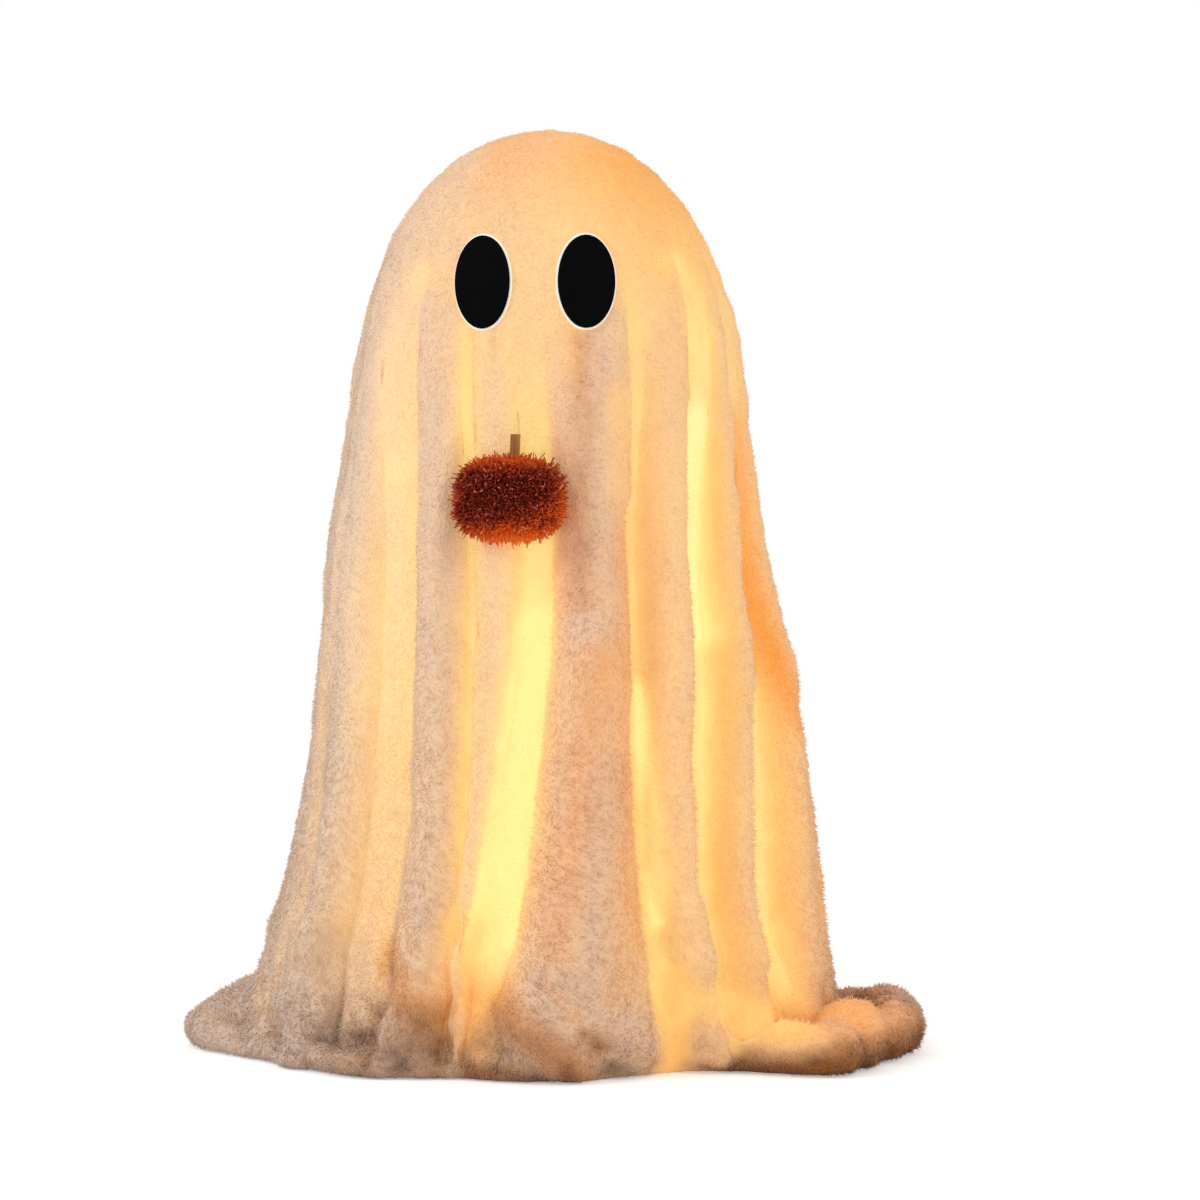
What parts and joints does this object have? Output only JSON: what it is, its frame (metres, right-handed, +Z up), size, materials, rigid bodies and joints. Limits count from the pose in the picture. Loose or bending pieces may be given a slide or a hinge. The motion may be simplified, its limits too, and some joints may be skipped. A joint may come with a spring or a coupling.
{
  "type": "light-up ghost decoration",
  "caption": "Plush sheet ghost with felt eyes and a bristle pumpkin, over a frosted head shell, wire frame and battery lights.",
  "frame": {"origin": "the middle of the base plate's underside, on the ground", "axes": "+Z up, the ghost faces -Y, +X to the viewer's right when facing it"},
  "size_m": [0.4105, 0.343, 0.5],
  "materials": {
    "plush": "soft short pile, cream white",
    "black_felt": "matte black felt",
    "pale_felt": "matte pale felt",
    "frosted_plastic": "frosted, lets light through",
    "white_plastic": "smooth white moulded",
    "frame_wire": "plain steel wire",
    "copper_wire": "bare copper coloured wire",
    "warm_light": "clear resin bead over a warm light",
    "black_plastic": "fine textured black",
    "cell_wrap": "printed film over a steel can",
    "nickel": "nickel plated",
    "circuit_board": "green solder mask",
    "bristles": "stiff coloured bristles",
    "foam": "dyed foam",
    "stem_wood": "dry brown stem",
    "glue": "set hot glue"
  },
  "bodies": {
    "base": {"base_plate": "white_plastic", "upright_1": "frame_wire", "upright_2": "frame_wire", "upright_3": "frame_wire", "upright_4": "frame_wire", "upright_5": "frame_wire", "upright_6": "frame_wire", "ring_1": "frame_wire", "ring_2": "frame_wire", "ring_3": "frame_wire", "head_shell": "frosted_plastic", "battery_case": "black_plastic", "cell_1": "cell_wrap", "cell_2": "cell_wrap", "cell_3": "cell_wrap", "contact_plate_1": "nickel", "contact_plate_2": "nickel", "contact_plate_3": "nickel", "contact_spring_1": "nickel", "contact_spring_2": "nickel", "contact_spring_3": "nickel", "switch_board": "circuit_board", "case_screw_1": "nickel", "case_screw_2": "nickel", "wire_gland": "black_plastic", "light_wire": "copper_wire", "light_01": "warm_light", "light_02": "warm_light", "light_03": "warm_light", "light_04": "warm_light", "light_05": "warm_light", "light_06": "warm_light", "light_07": "warm_light", "light_08": "warm_light", "light_09": "warm_light", "light_10": "warm_light", "light_11": "warm_light"},
    "cover": {"plush_cover": "plush", "right_eye_backing": "pale_felt", "right_eye": "black_felt", "left_eye_backing": "pale_felt", "left_eye": "black_felt", "pumpkin_bristles": "bristles", "pumpkin_core": "foam", "pumpkin_stem": "stem_wood", "pumpkin_glue": "glue"},
    "battery_door": {"battery_door": "black_plastic"},
    "switch_knob": {"switch_knob": "white_plastic"}
  },
  "joints": [
    {"name": "cover_lift", "type": "slide", "parent": "base", "child": "cover", "axis": [0, 0, 1], "range_m": [0, 0.51]},
    {"name": "battery_door_slide", "type": "slide", "parent": "base", "child": "battery_door", "axis": [0, -1, 0], "range_m": [0, 0.062]},
    {"name": "switch_slide", "type": "slide", "parent": "base", "child": "switch_knob", "axis": [1, 0, 0], "range_m": [0, 0.004]}
  ]
}
